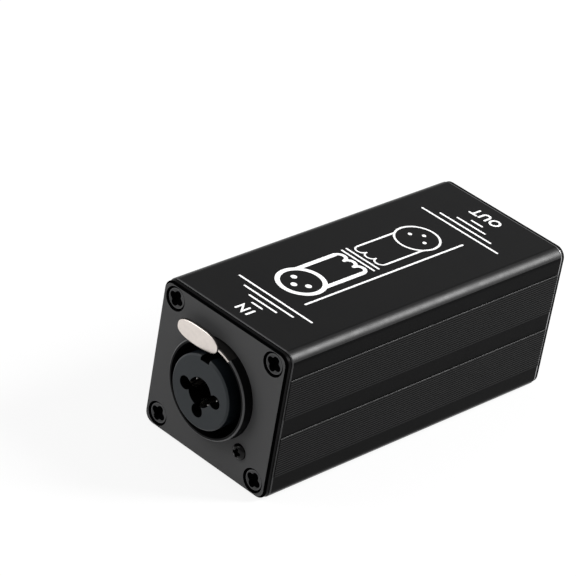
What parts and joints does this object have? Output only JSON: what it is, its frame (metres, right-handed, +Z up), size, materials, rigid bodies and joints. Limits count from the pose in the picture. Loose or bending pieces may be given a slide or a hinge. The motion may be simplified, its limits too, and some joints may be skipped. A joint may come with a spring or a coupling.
{
  "type": "ground loop isolator",
  "caption": "Ribbed aluminium tube with a combined XLR and jack socket in one end, an XLR plug in the other and an audio transformer inside.",
  "frame": {"origin": "on the underside of the case, under the middle of its length and width", "axes": "+Z up, +Y along the case from the input end to the output end, +X to the right of someone who faces the input end"},
  "size_m": [0.039, 0.0959, 0.037],
  "materials": {
    "case_aluminium": "black anodised, satin",
    "plate_aluminium": "dark grey anodised, fine matt grain",
    "black_screws": "black zinc, semi-gloss",
    "housing_plastic": "moulded, semi-gloss",
    "insert_plastic": "moulded, fine matt",
    "latch_metal": "nickel plated, satin",
    "spring_steel": "bright drawn wire",
    "contact_metal": "silver plated",
    "shell_metal": "dark grey coating, satin",
    "pin_block_plastic": "moulded, matt",
    "gilt_pins": "gilt, polished",
    "board_laminate": "green lacquer over glass laminate",
    "core_steel": "stacked laminations, dull",
    "bobbin_plastic": "moulded",
    "enamelled_wire": "enamelled copper",
    "tinned_terminals": "tinned"
  },
  "bodies": {
    "case": {"case_tube": "case_aluminium", "input_plate": "plate_aluminium", "output_plate": "plate_aluminium", "input_plate_screws": "black_screws", "output_plate_screws": "black_screws", "input_fixing": "black_screws", "output_fixings": "black_screws", "combo_housing": "housing_plastic", "combo_insert": "insert_plastic", "latch_spring": "spring_steel", "socket_contact_1": "contact_metal", "socket_contact_2": "contact_metal", "socket_contact_3": "contact_metal", "jack_ring_contact": "contact_metal", "jack_tip_contact": "contact_metal", "jack_sleeve_contact": "contact_metal", "output_housing": "shell_metal", "output_insert": "pin_block_plastic", "output_pin_1": "gilt_pins", "output_pin_2": "gilt_pins", "output_pin_3": "gilt_pins", "circuit_board": "board_laminate", "transformer_core": "core_steel", "transformer_bobbin": "bobbin_plastic", "primary_winding": "enamelled_wire", "secondary_winding": "enamelled_wire", "transformer_terminals": "tinned_terminals"},
    "latch": {"combo_latch": "latch_metal"}
  },
  "joints": [
    {"name": "latch_press", "type": "slide", "parent": "case", "child": "latch", "axis": [0, 1, 0], "range_m": [0, 0.0012], "stiffness_N_per_m": 500, "springref_m": -0.002, "deforming": ["latch_spring"]}
  ]
}
